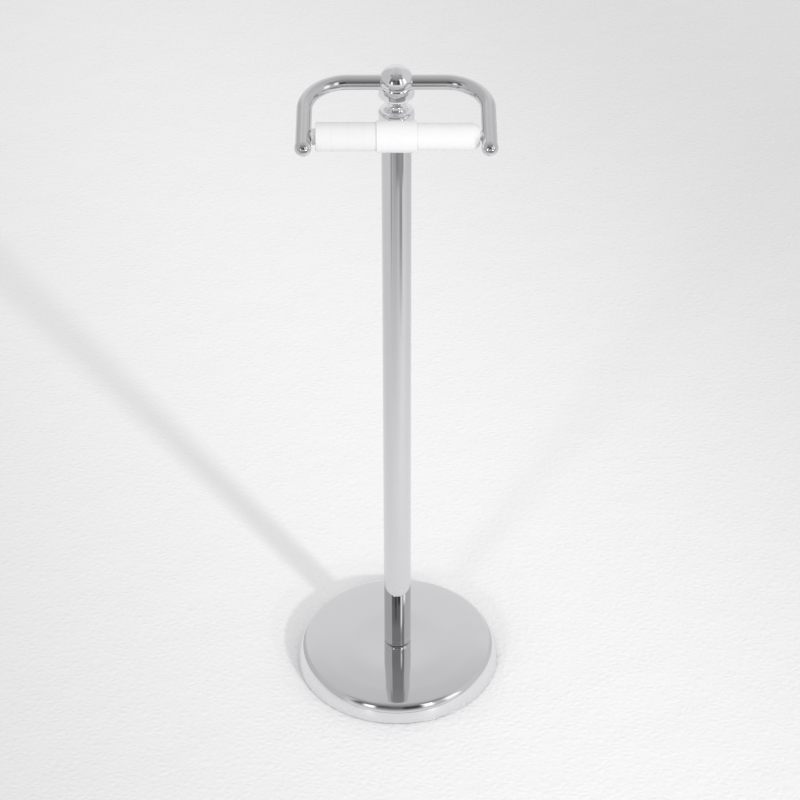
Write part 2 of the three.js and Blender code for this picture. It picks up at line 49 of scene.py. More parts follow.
# Base, in millimetres as in the CAD source
SHELL_TOP = 20.8
SHELL_THICKNESS = 1
SHELL_FLAT_RADIUS = 69
SHELL_CROWN_RADIUS = 167
SHELL_CROWN_TURN = 6
SHELL_SHOULDER_RADIUS = 6.3
SHELL_SHOULDER_TURN = 61
SHELL_SKIRT_RADIUS = 37
SHELL_WALL_TURN = 82
SHELL_RIM_RADIUS = 96
SHELL_RIM = 0.6
SHELL_BEAD = 1.1
SHELL_OUTER_STEPS = (16, 36, 20)
SHELL_INNER_STEPS = (4, 8, 4)
BASE_SEGMENTS = 256
BOLT_HOLE = 4.3
BOLT_BEVEL = 0.4
PAD_HOLE = 18
PAD_RADIUS = 91
PAD_THICKNESS = 2
PAD_EDGE = 0.5
PAD_SEGMENTS = 192

# Shallow forms of the base's top, which only its mirror image shows
DISH_START = 14
DISH_END = 40
DISH_RISE = 0.2
CROWN_END = 90
CROWN_DROP = 1.3

# Pole and cap
SEAM = 0.3
FOOT_BOTTOM = 21.3
FOOT_TOP = 27.5
FOOT_EDGE = 2.5
POLE_RADIUS = 12.7
POLE_BORE = 11.7
POLE_TOP = 601
CAP_RADIUS = 15.1
CAP_BORE = 12.9
CAP_BOTTOM = 590
CAP_EDGE = 610
CAP_CORNER = 3.2
NECK_RADIUS = 7.5
NECK_BOTTOM = 617
NECK_TOP = 619
HUB_BOTTOM = 619.6

# Hub
BULB_RADIUS = 15.15
BULB_WIDEST = 624.8
BULB_LOWER_HEIGHT = 5
BULB_UPPER_HEIGHT = 10.6
BULB_UPPER_DEPTH = 4
BULB_TOP = 633.4
BALL_RADIUS = 14.5
BALL_CENTRE = 635.5
WAIST_STEP = 0.3
HUB_SEGMENTS = 160
STUD_HOLE = 3.3

# Yoke
YOKE_RADIUS = 6.35
YOKE_AXIS = 635
YOKE_TILT = 7
YOKE_HALF_SPAN = 74.6
YOKE_BEND = 35.5
BALL_END_REACH = 85.6
BALL_END_RADIUS = 6.8
BALL_END_SETBACK = 1
BALL_END_SEGMENTS = 96
YOKE_SIDES = 72
BEND_STEPS = 56
PIN_HOLE = 4.25
PIN_HOLE_OVERSHOOT = 2
PIN_HOLE_SEGMENTS = 48
PIN_ZONE = 7
PIN_ZONE_STEP = 0.8
PIN_ZONE_STEPS = 18

# Roller
ROLLER_REACH = 71.1
ROLLER_WALL = 1.2
PIN_RADIUS = 3.75
PIN_END = 73.8
PIN_TIP = 0.6
PLUG_RADIUS = 11.7
PLUG_SHOULDER = -64.7
PLUG_STUB_RADIUS = 6.65
PLUG_STUB = -67.9
PLUG_EDGE = 0.8
SLEEVE_RADIUS = 12.9
SLEEVE_START = -16
SLEEVE_END = 16.5
SLEEVE_CORNER = 0.6
SLEEVE_PLAY = 0.2
SOCKET_RADIUS = 10.9
SOCKET_TAPER = 62.3
SOCKET_TIP = 67
SOCKET_TIP_RADIUS = 7.5
RING_SPACING = 13
RING_WIDTH = 1.1
RING_DEPTH = 0.02

# Spring
WIRE_RADIUS = 0.6
COIL_RADIUS = 7
COIL_TURNS = 20
CLOSED_PITCH = 1.7
SPRING_STEPS_PER_TURN = 28
SPRING_SIDES = 10

# Meshes: sides of a turned piece, the sharpest angle that is shaded smooth, and the distance
# from a corner at which a long straight stretch gets a point of its own
SEGMENTS = 128
SHARP_ANGLE = 32
NEAR_CORNER = 0.12

# How much light each chrome and plastic gives back
CHROME_LEVELS = {"base": 0.82, "pole": 0.72, "hub": 0.91, "yoke": 0.72}
HAIRLINES = (900, 900, 14)
BASE_HAIRLINES = (600, 600, 600)
POLISHED = 0.018
SMUDGE_ROUGHNESS = 0.02
WEAR_ROUGHNESS = 0.03
SMUDGE_DULLING = 0.35
RIPPLE_SCALE = 260
RIPPLE_DEPTH = 0.0000015
SOCKET_WHITE = 0.8
PLUG_WHITE = 0.76
# Painted shade in the mould rings of the plug half
PLUG_RING_PAINTED_SHADE = 0.12

# Studio floor, in metres: a long pool of light painted on a pale sheet, painted darker away from
# it
FLOOR_RADIUS = 9
FLOOR_SEGMENTS = 128
GRAIN_SCALE = 150
GRAIN_STRETCH = (0.8, 1, 1)
GRAIN_DEPTH = 0.0007
SWELL_SCALE = 14
SWELL_SHARE = 2.4
POOL_CENTRE = (0.019, 0.249, 0)
POOL_TURN = 109.3
POOL_SIZE = (2.13, 0.74, 1)
PAINTED_POOL_COLOUR = (0.912, 0.907, 0.917, 1)
SHADED_SHEET_COLOUR = (0.724, 0.719, 0.727, 1)

# The floor as chrome mirrors it, painted darker as shade: its brightness by the distance in front
# of the object, then the places painted darker or lighter: azimuths, distances, brightness and
# softness of the distances
PAINTED_MIRROR_SHADE = [
    (0.3, 1), (0.53, 0.87), (0.76, 0.7), (0.9, 0.56), (1.0, 0.48), (1.2, 0.5), (6, 0.5), (9, 0.6),
]
PAINTED_MIRROR_PLACES = [
    ((60, 180), (0.8, 2.1), 0.95, 0.2),
    ((-180, -48), (0.8, 2.1), 1, 0.2),
    ((-3, 54), (0.87, 3), 0.36, 0.03),
    ((22, 44), (0.65, 3), 0.36, 0.15),
    ((-43, -38), (0.72, 3), 0.3, 0.15),
]
FLOOR_PLACE_SOFTNESS = 1.5

# Studio round the object: brightness by elevation of its walls and of the room behind the camera
WALL_LIGHT = [
    (-5, 0.84), (8, 0.82), (22, 0.79), (30, 0.76), (36, 0.74), (41, 0.73), (43, 0.7), (46, 0.65),
    (50, 0.61), (56, 0.59), (64, 0.58), (72, 0.57), (80, 0.54), (90, 0.51),
]
ROOM_LIGHT = [
    (-5, 0.75), (0, 0.85), (4, 0.7), (8, 0.4), (12, 0.16), (22, 0.14), (32, 0.17), (38, 0.19),
    (42, 0.25), (50, 0.3), (62, 0.35), (70, 0.4), (80, 0.47), (90, 0.51),
]
PLAIN_LIGHT = 0.8

# Walls, ceiling panel, room, dark stands and bright panels: azimuths, elevations, brightness and
# softness. A later one covers an earlier one.
ROOM = "room"
PANELS = [
    ((-150, -52), (-20, 52), 0.55, 10),
    ((62, 150), (-20, 53), 0.64, 9),
    ((-80, 80), (50, 68), 0.37, 5),
    ((-50, 60), (-20, 100), ROOM, 6),
    ((-21, -8), (27, 38), 0.06, 3),
    ((6, 23), (10, 34), 0.06, 3),
    ((36, 54), (6, 38), 0.55, 4),
    ((27, 39), (8, 42), 1.2, 3),
    ((52, 70), (6, 34), 1.25, 4),
    ((-36, -24), (8, 24), 1.3, 3),
]

# Lamp heads: place and power. Beams: azimuth, elevation, strength and spread in degrees.
LAMP_SIZE = 0.06
LAMP_AIM = (0, 0, 0.3)
LAMPS = {
    "lamp_right": ((0.80, -1.147, 0.5), 2.2),
    "lamp_left": ((-0.893, -1.672, 0.44), 1.6),
}
BEAM_DISTANCE = 3
BEAMS = {
    "beam_right": (34.9, 28, 1, 4),
    "beam_left": (-28.1, 25, 0.37, 9),
}

# Camera
CAMERA_PLACE = (0, -1.921, 1.766)
CAMERA_TILT = 52.8
CAMERA_HEADING = -0.08
CAMERA_ROLL = -0.09
CAMERA_LENS = 121.48
CAMERA_SENSOR = 36
CAMERA_RANGE = (0.05, 50)

ROLLER_Y = -ROLLER_REACH * math.cos(math.radians(YOKE_TILT))
ROLLER_Z = YOKE_AXIS - ROLLER_REACH * math.sin(math.radians(YOKE_TILT))

# Millimetres, in each piece's own frame, to metres in the row frame
UPRIGHT = Matrix.Scale(MM, 4)
YOKE_PLACE = (
    UPRIGHT
    @ Matrix.Translation((0, 0, YOKE_AXIS))
    @ Matrix.Rotation(math.radians(YOKE_TILT), 4, "X")
)
ROLLER_PLACE = (
    UPRIGHT
    @ Matrix.Translation((0, ROLLER_Y, ROLLER_Z))
    @ Matrix.Rotation(math.radians(90), 4, "Y")
)


def add_node(tree, kind, settings=None, **inputs):
    """Adds a shader node. An input is named by its label, or by i and its number."""
    node = tree.nodes.new("ShaderNode" + kind)
    for key, value in (settings or {}).items():
        setattr(node, key, value)
    for key, value in inputs.items():
        label = int(key[1:]) if key[0] == "i" and key[1:].isdigit() else key.replace("_", " ")
        socket = node.inputs[label]
        if isinstance(value, bpy.types.NodeSocket):
            tree.links.new(value, socket)
        else:
            socket.default_value = value
    return node


def object_point(tree, stretch=(1, 1, 1), turn=(0, 0, 0)):
    """Place on the object in metres, stretched and turned for a texture."""
    coordinates = add_node(tree, "TexCoord").outputs["Object"]
    mapping = add_node(tree, "Mapping", Vector=coordinates, Scale=stretch, Rotation=turn)
    return mapping.outputs["Vector"]


def noise(tree, scale, detail=3, vector=None):
    """Value of a noise texture; scale is features per metre."""
    place = vector or object_point(tree)
    return add_node(tree, "TexNoise", Vector=place, Scale=scale, Detail=detail).outputs["Fac"]


def remap(tree, value, low, high, to_low, to_high, smooth=False):
    settings = {"interpolation_type": "SMOOTHSTEP" if smooth else "LINEAR"}
    node = add_node(
        tree, "MapRange", settings, Value=value, i1=low, i2=high, i3=to_low, i4=to_high,
    )
    return node.outputs[0]


def maths(tree, operation, first, second=0.0):
    return add_node(tree, "Math", {"operation": operation}, i0=first, i1=second).outputs[0]


def distance(tree, vector):
    node = add_node(tree, "VectorMath", {"operation": "LENGTH"}, i0=vector)
    return node.outputs["Value"]


def mix_colour(tree, share, first, second):
    node = add_node(tree, "Mix", {"data_type": "RGBA"}, i0=share, i6=first, i7=second)
    return node.outputs[2]


def mix_value(tree, share, first, second):
    return add_node(tree, "Mix", {"data_type": "FLOAT"}, i0=share, i2=first, i3=second).outputs[0]


def bump(tree, height, metres, normal=None):
    node = add_node(tree, "Bump", Height=height, Distance=metres, Strength=1.0)
    if normal:
        tree.links.new(normal, node.inputs["Normal"])
    return node.outputs["Normal"]


def new_material(name):
    material = bpy.data.materials.new(name)
    material.use_nodes = True
    material.node_tree.nodes.clear()
    return material


def surface(material, **inputs):
    tree = material.node_tree
    shader = add_node(tree, "BsdfPrincipled", **inputs)
    add_node(tree, "OutputMaterial", Surface=shader.outputs[0])
    return material


def grey(level):
    return (level, level, level, 1)


def scratches(tree, stretch, turn):
    """Mask of fine hairline scratches along one direction."""
    value = noise(tree, 1, 2, object_point(tree, stretch, turn))
    return remap(tree, value, 0.66, 0.72, 0, 1, True)


def spun_crown(tree):
    """Height in millimetres of the dish round the pole and the crown outside it."""
    radius = distance(tree, object_point(tree, (1, 1, 0)))
    dish = remap(tree, radius, DISH_START * MM, DISH_END * MM, 0, DISH_RISE, True)
    crown = remap(tree, radius, DISH_END * MM, CROWN_END * MM, 0, -CROWN_DROP, True)
    return maths(tree, "ADD", dish, crown)


def chrome(name, level, hairlines=HAIRLINES, spun=False):
    """Bright plating: a mirror with a trace of ripple, faint smudges and hairline wear."""
    material = new_material(name)
    tree = material.node_tree
    smudge = remap(tree, noise(tree, 32, 4), 0.45, 0.75, 0, 1, True)
    fine = scratches(tree, hairlines, (0.1, 0.05, 0.3))
    crossing = scratches(tree, hairlines, (0.7, 0.9, 1.4))
    wear = maths(tree, "MAXIMUM", fine, crossing)
    rough = maths(tree, "MULTIPLY", smudge, SMUDGE_ROUGHNESS)
    rough = maths(tree, "ADD", rough, maths(tree, "MULTIPLY", wear, WEAR_ROUGHNESS))
    rough = maths(tree, "ADD", rough, POLISHED)
    dull = maths(tree, "MULTIPLY", smudge, SMUDGE_DULLING)
    bright = (level, level * 0.998, level * 1.018, 1)
    duller = [channel * 0.97 for channel in bright]
    colour = mix_colour(tree, dull, bright, duller)
    normal = bump(tree, noise(tree, RIPPLE_SCALE, 2), RIPPLE_DEPTH)
    if spun:
        normal = bump(tree, spun_crown(tree), MM, normal)
    return surface(material, Base_Color=colour, Metallic=1.0, Roughness=rough, Normal=normal)


def plated_steel(name):
    """Zinc plating: dull bright metal with cloudy patches and fine drawn lines."""
    material = new_material(name)
    tree = material.node_tree
    cloud = noise(tree, 240, 4)
    colour = mix_colour(tree, cloud, (0.50, 0.50, 0.47, 1), (0.66, 0.66, 0.64, 1))
    rough = remap(tree, cloud, 0.3, 0.7, 0.28, 0.45)
    lines = noise(tree, 1, 2, object_point(tree, (2500, 2500, 300)))
    normal = bump(tree, lines, 0.00002)
    return surface(material, Base_Color=colour, Metallic=1.0, Roughness=rough, Normal=normal)


def cast_iron(name):
    """Oiled sand casting: grainy, with rusty specks where the oil is thin."""
    material = new_material(name)
    tree = material.node_tree
    grain = noise(tree, 700, 5)
    rust = remap(tree, noise(tree, 160, 5), 0.62, 0.72, 0, 0.6, True)
    colour = mix_colour(tree, grain, grey(0.018), grey(0.045))
    colour = mix_colour(tree, rust, colour, (0.11, 0.05, 0.025, 1))
    rough = remap(tree, grain, 0.3, 0.7, 0.6, 0.85)
    normal = bump(tree, grain, 0.0003)
    return surface(material, Base_Color=colour, Metallic=0.1, Roughness=rough, Normal=normal)


def foam(name):
    """Dark foam rubber: small open cells and a few compressed, shinier patches."""
    material = new_material(name)
    tree = material.node_tree
    cells = add_node(
        tree, "TexVoronoi", Vector=object_point(tree), Scale=1400.0,
    ).outputs["Distance"]
    worn = remap(tree, noise(tree, 45, 3), 0.5, 0.7, 0, 1, True)
    colour = mix_colour(tree, cells, grey(0.012), grey(0.04))
    colour = mix_colour(tree, worn, colour, grey(0.05))
    rough = remap(tree, worn, 0, 1, 0.95, 0.7)
    normal = bump(tree, cells, 0.0002)
    return surface(material, Base_Color=colour, Roughness=rough, Normal=normal)


def nylon(name):
    """Milky moulded nylon."""
    material = new_material(name)
    tree = material.node_tree
    cloud = noise(tree, 300, 3)
    colour = mix_colour(tree, cloud, (0.62, 0.61, 0.57, 1), (0.74, 0.73, 0.70, 1))
    rough = remap(tree, cloud, 0.3, 0.7, 0.4, 0.55)
    normal = bump(tree, noise(tree, 2500, 2), 0.00001)
    return surface(
        material, Base_Color=colour, Roughness=rough, Normal=normal,
        Subsurface_Weight=0.15, Subsurface_Radius=(1, 1, 1), Subsurface_Scale=0.001,
    )


def white_plastic(name, level, painted_ring_shade):
    """White moulded plastic: faint rings from the mould along the tube, very shallow and painted
    darker as their shade, and a fine satin grain.
    """
    material = new_material(name)
    tree = material.node_tree
    coordinates = add_node(tree, "TexCoord").outputs["Object"]
    along = add_node(tree, "SeparateXYZ", Vector=coordinates).outputs["X"]
    step = maths(tree, "PINGPONG", along, RING_SPACING / 2 * MM)
    ring = remap(tree, step, 0, RING_WIDTH * MM, 1, 0, True)
    cloud = noise(tree, 90, 4)
    # Painted shade: the colour is darker in each mould ring; the ring's real bump is very shallow.
    shade = maths(tree, "MULTIPLY", ring, painted_ring_shade)
    shade = maths(tree, "ADD", shade, remap(tree, cloud, 0.3, 0.7, 0, 0.06))
    colour = mix_colour(tree, shade, grey(level), grey(level * 0.8))
    rough = remap(tree, cloud, 0.3, 0.7, 0.34, 0.42)
    normal = bump(tree, noise(tree, 1800, 3), 0.000012)
    normal = bump(tree, ring, RING_DEPTH * MM, normal)
    return surface(
        material, Base_Color=colour, Roughness=rough, Normal=normal,
        Subsurface_Weight=0.1, Subsurface_Radius=(1, 1, 1), Subsurface_Scale=0.0015,
    )


def arc(centre, radii, start, end, steps):
    """Points on an arc, or on a part of an ellipse where radii holds two values."""
    across, up = radii if isinstance(radii, tuple) else (radii, radii)
    points = []
    for i in range(steps + 1):
        turn = math.radians(start + (end - start) * i / steps)
        points.append((centre[0] + across * math.cos(turn), centre[1] + up * math.sin(turn)))
    return points


def outline(*parts):
    """Joins corners (pairs) and curves (lists) into one profile.
    A long straight stretch gets a point near each end, so that its shading stays flat."""
    points = []
    for part in parts:
        curve = part if isinstance(part, list) else [part]
        if points:
            (ax, az), (bx, bz) = points[-1], curve[0]
            length = math.hypot(bx - ax, bz - az)
            if length > 4 * NEAR_CORNER:
                for share in (NEAR_CORNER / length, 1 - NEAR_CORNER / length):
                    points.append((ax + (bx - ax) * share, az + (bz - az) * share))
            if length < 1e-6:
                curve = curve[1:]
        points.extend(curve)
    return points


def new_piece(name, verts, faces, place, material, body, nodes):
    """Makes a smooth-shaded piece from points in millimetres and places it on its body."""
    mesh = bpy.data.meshes.new(name)
    mesh.from_pydata([place @ Vector(v) for v in verts], [], faces)
    mesh.validate()
    mesh.polygons.foreach_set("use_smooth", [True] * len(mesh.polygons))
    mesh.set_sharp_from_angle(angle=math.radians(SHARP_ANGLE))
    mesh.materials.append(material)
    piece = bpy.data.objects.new(name, mesh)
    bpy.context.scene.collection.objects.link(piece)
    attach(piece, body)
    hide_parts(*nodes)
    return piece


def lathe(name, profile, place, material, body, nodes, segments=SEGMENTS):
    """Turns a profile of (radius, height) round its own Z axis.
    It closes on itself unless it ends on the axis."""
    verts, faces, rings = [], [], []
    for radius, height in profile:
        count = 1 if radius < 1e-6 else segments
        rings.append(range(len(verts), len(verts) + count))
        for i in range(count):
            turn = FULL_TURN * i / count
            verts.append((radius * math.cos(turn), radius * math.sin(turn), height))
    pairs = list(zip(rings, rings[1:]))
    if len(rings[0]) > 1:
        pairs.append((rings[-1], rings[0]))
    for lower, upper in pairs:
        for i in range(segments):
            j = (i + 1) % segments
            if len(lower) == 1:
                faces.append((lower[0], upper[j], upper[i]))
            elif len(upper) == 1:
                faces.append((lower[i], lower[j], upper[0]))
            else:
                faces.append((lower[i], lower[j], upper[j], upper[i]))
    return new_piece(name, verts, faces, place, material, body, nodes)


def sweep(name, path, radius, sides, place, material, body, nodes):
    """Round bar along a path of (point, sideways, upward) frames, with flat ends."""
    verts, faces = [], []
    for point, sideways, upward in path:
        for i in range(sides):
            turn = FULL_TURN * i / sides
            verts.append(point + radius * (math.cos(turn) * sideways + math.sin(turn) * upward))
    for ring in range(len(path) - 1):
        for i in range(sides):
            j = (i + 1) % sides
            low, high = ring * sides, (ring + 1) * sides
            faces.append((low + i, low + j, high + j, high + i))
    last = (len(path) - 1) * sides
    faces.append(tuple(reversed(range(sides))))
    faces.append(tuple(range(last, last + sides)))
    return new_piece(name, verts, faces, place, material, body, nodes)


def shell_curve(depth, steps):
    """Crown, shoulder and skirt of the base shell at a depth under its surface,
    and the foot of its wall."""
    arcs = (
        (SHELL_CROWN_RADIUS, SHELL_CROWN_TURN),
        (SHELL_SHOULDER_RADIUS, SHELL_SHOULDER_TURN),
        (SHELL_SKIRT_RADIUS, SHELL_WALL_TURN),
    )
    points = [(SHELL_FLAT_RADIUS, SHELL_TOP - depth)]
    across, up = SHELL_FLAT_RADIUS, SHELL_TOP
    last_radius = turn = 0
    for (radius, end_turn), count in zip(arcs, steps):
        across += (last_radius - radius) * math.sin(math.radians(turn))
        up += (last_radius - radius) * math.cos(math.radians(turn))
        points += arc((across, up), radius - depth, 90 - turn, 90 - end_turn, count)[1:]
        last_radius, turn = radius, end_turn
    edge_radius, edge_height = points[-1]
    bead_top = SHELL_RIM + SHELL_BEAD
    flare = (edge_height - bead_top) / math.tan(math.radians(SHELL_WALL_TURN))
    return points, (edge_radius + flare, bead_top)


def make_base(material):
    outer, wall_foot = shell_curve(0, SHELL_OUTER_STEPS)
    inner, _ = shell_curve(SHELL_THICKNESS, SHELL_INNER_STEPS)
    half_bead = SHELL_BEAD / 2
    bead = arc((SHELL_RIM_RADIUS - half_bead, SHELL_RIM + half_bead), half_bead, -90, 60, 10)
    profile = outline(
        (BOLT_HOLE, SHELL_TOP - SHELL_THICKNESS), inner, (inner[-1][0], SHELL_RIM),
        bead, wall_foot, outer[::-1], (BOLT_HOLE, SHELL_TOP),
    )
    lathe(
        "base_cover", profile, UPRIGHT, material["chrome_base"],
        "stand", ["base_shell"], BASE_SEGMENTS,
    )
    pad = outline(
        (PAD_HOLE, 0), arc((PAD_RADIUS - PAD_EDGE, PAD_EDGE), PAD_EDGE, -90, 0, 5),
        (PAD_RADIUS, PAD_THICKNESS), (PAD_HOLE, PAD_THICKNESS),
    )
    lathe(
        "floor_pad", pad, UPRIGHT, material["soft_pad"],
        "stand", ["base_pad"], PAD_SEGMENTS,
    )


def make_pole(material):
    finish = material["chrome_pole"]
    foot = outline(
        (BOLT_HOLE, FOOT_BOTTOM),
        arc((POLE_RADIUS - FOOT_EDGE, FOOT_BOTTOM + FOOT_EDGE), FOOT_EDGE, -90, 0, 24),
        (POLE_RADIUS, FOOT_TOP - SEAM), (POLE_RADIUS - SEAM, FOOT_TOP), (BOLT_HOLE, FOOT_TOP),
    )
    lathe("foot_collar", foot, UPRIGHT, finish, "stand", ["pole_foot"])
    tube = outline(
        (POLE_BORE, FOOT_TOP), (POLE_RADIUS - SEAM, FOOT_TOP), (POLE_RADIUS, FOOT_TOP + SEAM),
        (POLE_RADIUS, POLE_TOP), (POLE_BORE, POLE_TOP),
    )
    lathe("pole", tube, UPRIGHT, finish, "stand", ["pole_tube"])
    corner = arc((CAP_RADIUS - CAP_CORNER, CAP_EDGE - CAP_CORNER), CAP_CORNER, 0, 90, 12)
    cone_radius = CAP_RADIUS - CAP_CORNER
    cone = arc(
        (cone_radius, NECK_BOTTOM), (cone_radius - NECK_RADIUS, NECK_BOTTOM - CAP_EDGE),
        -90, -180, 32,
    )
    cap = outline(
        (CAP_BORE, CAP_BOTTOM), (CAP_RADIUS - SEAM, CAP_BOTTOM), (CAP_RADIUS, CAP_BOTTOM + SEAM),
        corner, cone, (NECK_RADIUS, NECK_TOP), (STUD_HOLE, NECK_TOP),
        (STUD_HOLE, POLE_TOP), (CAP_BORE, POLE_TOP),
    )
    lathe("cap", cap, UPRIGHT, material["chrome_hub"], "stand", ["pole_cap"])


def ball_angle(height):
    """Angle in degrees above the middle of the ball at which it reaches a height."""
    return math.degrees(math.asin((height - BALL_CENTRE) / BALL_RADIUS))


def make_hub(material):
    finish = material["chrome_hub"]
    seam = SEAM / 2
    upper_end = math.degrees(math.asin((BULB_TOP - BULB_WIDEST) / BULB_UPPER_HEIGHT))
    lower = arc(
        (NECK_RADIUS, BULB_WIDEST), (BULB_RADIUS - NECK_RADIUS, BULB_LOWER_HEIGHT), -90, 0, 32,
    )
    upper = arc(
        (BULB_RADIUS - BULB_UPPER_DEPTH, BULB_WIDEST), (BULB_UPPER_DEPTH, BULB_UPPER_HEIGHT),
        0, upper_end, 24,
    )
    band = arc(
        (0, BALL_CENTRE), BALL_RADIUS,
        ball_angle(BULB_TOP + WAIST_STEP), ball_angle(BALL_CENTRE - seam), 6,
    )
    lower_half = outline(
        (STUD_HOLE, HUB_BOTTOM), (NECK_RADIUS, HUB_BOTTOM), lower, upper[1:], band,
        (STUD_HOLE, BALL_CENTRE - seam),
    )
    lathe(
        "hub_bulb", lower_half, UPRIGHT, finish,
        "stand", ["hub_body"], HUB_SEGMENTS,
    )
    dome = arc((0, BALL_CENTRE), BALL_RADIUS, ball_angle(BALL_CENTRE + seam), 90, 48)
    dome[-1] = (0, dome[-1][1])
    upper_half = outline((0, BALL_CENTRE + seam), dome)
    lathe(
        "hub_ball", upper_half, UPRIGHT, finish,
        "stand", ["hub_dome"], HUB_SEGMENTS,
    )


def yoke_path():
    """Frames along the yoke's centre line in its own plane, closer together in the bends
    and at the pins."""
    inner = YOKE_HALF_SPAN - YOKE_BEND
    arm_end = BALL_END_REACH - BALL_END_SETBACK
    pin_zone = [ROLLER_REACH + PIN_ZONE - PIN_ZONE_STEP * i for i in range(PIN_ZONE_STEPS)]
    half = [(0, 0, 90), (inner - NEAR_CORNER, 0, 90)]
    for i in range(BEND_STEPS + 1):
        angle = 90 - 90 * i / BEND_STEPS
        turn = math.radians(angle)
        across, along = YOKE_BEND * math.cos(turn), YOKE_BEND * math.sin(turn)
        half.append((inner + across, along - YOKE_BEND, angle))
    half.append((YOKE_HALF_SPAN, -YOKE_BEND - NEAR_CORNER, 0))
    half += [(YOKE_HALF_SPAN, -reach, 0) for reach in reversed(pin_zone)]
    half.append((YOKE_HALF_SPAN, -arm_end, 0))
    left = [(-x, y, 180 - angle) for x, y, angle in reversed(half[1:])]
    frames = []
    for x, y, angle in left + half:
        turn = math.radians(angle)
        outward = Vector((math.cos(turn), math.sin(turn), 0))
        frames.append((Vector((x, y, 0)), outward, Vector((0, 0, -1))))
    return frames


def make_yoke(material):
    finish = material["chrome_yoke"]
    tube = sweep(
        "yoke", yoke_path(), YOKE_RADIUS, YOKE_SIDES, YOKE_PLACE, finish,
        "stand", ["yoke_tube"],
    )
    cut_pin_holes(tube)
    seat = math.degrees(math.asin((SEAM / 2 - BALL_END_SETBACK) / BALL_END_RADIUS))
    ball = arc((0, 0), BALL_END_RADIUS, seat, 90, 40)
    ball[-1] = (0, ball[-1][1])
    profile = outline((0, SEAM / 2 - BALL_END_SETBACK), ball)
    for side, name in ((-1, "left"), (1, "right")):
        place = (
            YOKE_PLACE
            @ Matrix.Translation((side * YOKE_HALF_SPAN, -BALL_END_REACH, 0))
            @ Matrix.Rotation(math.radians(90), 4, "X")
        )
        lathe(
            name + "_ball", profile, place, finish,
            "stand", [name + "_ball_end"], BALL_END_SEGMENTS,
        )


def cut_pin_holes(tube):
    """Bores the two blind holes that hold the roller's pins."""
    mesh = bpy.data.meshes.new("pin_cutters")
    cutter = bmesh.new()
    depth = YOKE_RADIUS + PIN_HOLE_OVERSHOOT
    for side in (-1, 1):
        place = (
            YOKE_PLACE
            @ Matrix.Translation((side * (YOKE_HALF_SPAN - depth / 2), -ROLLER_REACH, 0))
            @ Matrix.Rotation(math.radians(90), 4, "Y")
        )
        bmesh.ops.create_cone(
            cutter, cap_ends=True, segments=PIN_HOLE_SEGMENTS,
            radius1=PIN_HOLE, radius2=PIN_HOLE, depth=depth, matrix=place,
        )
    cutter.to_mesh(mesh)
    cutter.free()
    tool = bpy.data.objects.new("pin_cutters", mesh)
    bpy.context.scene.collection.objects.link(tool)
    modifier = tube.modifiers.new("pin_holes", "BOOLEAN")
    modifier.operation = "DIFFERENCE"
    modifier.solver = "EXACT"
    modifier.object = tool
    bpy.context.view_layer.update()
    evaluated = tube.evaluated_get(bpy.context.evaluated_depsgraph_get())
    bored = bpy.data.meshes.new_from_object(evaluated)
    tube.modifiers.clear()
    tube.data = bored
    bored.set_sharp_from_angle(angle=math.radians(SHARP_ANGLE))
    bpy.data.objects.remove(tool)


def make_roller(material):
    bore = PLUG_RADIUS - ROLLER_WALL
    closed_end = PLUG_SHOULDER + ROLLER_WALL
    shoulder = arc(
        (PLUG_RADIUS - PLUG_EDGE, PLUG_SHOULDER + PLUG_EDGE), PLUG_EDGE, -90, 0, 10,
    )
    plug = outline(
        (0, -PIN_END), (PIN_RADIUS - PIN_TIP, -PIN_END), (PIN_RADIUS, PIN_TIP - PIN_END),
        (PIN_RADIUS, PLUG_STUB), (PLUG_STUB_RADIUS, PLUG_STUB), (PLUG_STUB_RADIUS, PLUG_SHOULDER),
        shoulder, (PLUG_RADIUS, 0), (bore, 0), (bore, closed_end), (0, closed_end),
    )
    lathe(
        "roller_inner_half", plug, ROLLER_PLACE, material["white_plastic_plug"],
        "roller_left", ["roller_plug"],
    )
    sleeve_bore = PLUG_RADIUS + SLEEVE_PLAY
    tube_bore = SOCKET_RADIUS - ROLLER_WALL
    corner = SLEEVE_CORNER
    cap_inside = SOCKET_TAPER - ROLLER_WALL
    sleeve_inside = SLEEVE_END - ROLLER_WALL
    socket = outline(
        (0, cap_inside), (tube_bore, cap_inside),
        (tube_bore, sleeve_inside), (sleeve_bore, sleeve_inside), (sleeve_bore, SLEEVE_START),
        arc((SLEEVE_RADIUS - corner, SLEEVE_START + corner), corner, -90, 0, 8),
        arc((SLEEVE_RADIUS - corner, SLEEVE_END - corner), corner, 0, 90, 8),
        (SOCKET_RADIUS, SLEEVE_END), (SOCKET_RADIUS, SOCKET_TAPER),
        (SOCKET_TIP_RADIUS, SOCKET_TIP), (PIN_RADIUS, SOCKET_TIP),
        (PIN_RADIUS, PIN_END - PIN_TIP), (PIN_RADIUS - PIN_TIP, PIN_END), (0, PIN_END),
    )
    lathe(
        "roller_sleeve_half", socket, ROLLER_PLACE, material["white_plastic"],
        "roller_right", ["roller_socket"],
    )


def spring_path(start, end):
    """Frames along the helix, with one closely wound turn at each end."""
    open_turns = COIL_TURNS - 2
    open_pitch = (end - start - 2 * CLOSED_PITCH) / open_turns
    frames = []
    for i in range(COIL_TURNS * SPRING_STEPS_PER_TURN + 1):
        turns = i / SPRING_STEPS_PER_TURN
        opened = min(max(turns - 1, 0), open_turns)
        x = start + (turns - opened) * CLOSED_PITCH + opened * open_pitch
        angle = FULL_TURN * turns
        outward = Vector((0, math.cos(angle), math.sin(angle)))
        frames.append((outward * COIL_RADIUS + Vector((x, 0, 0)), outward, Vector((-1, 0, 0))))
    return frames


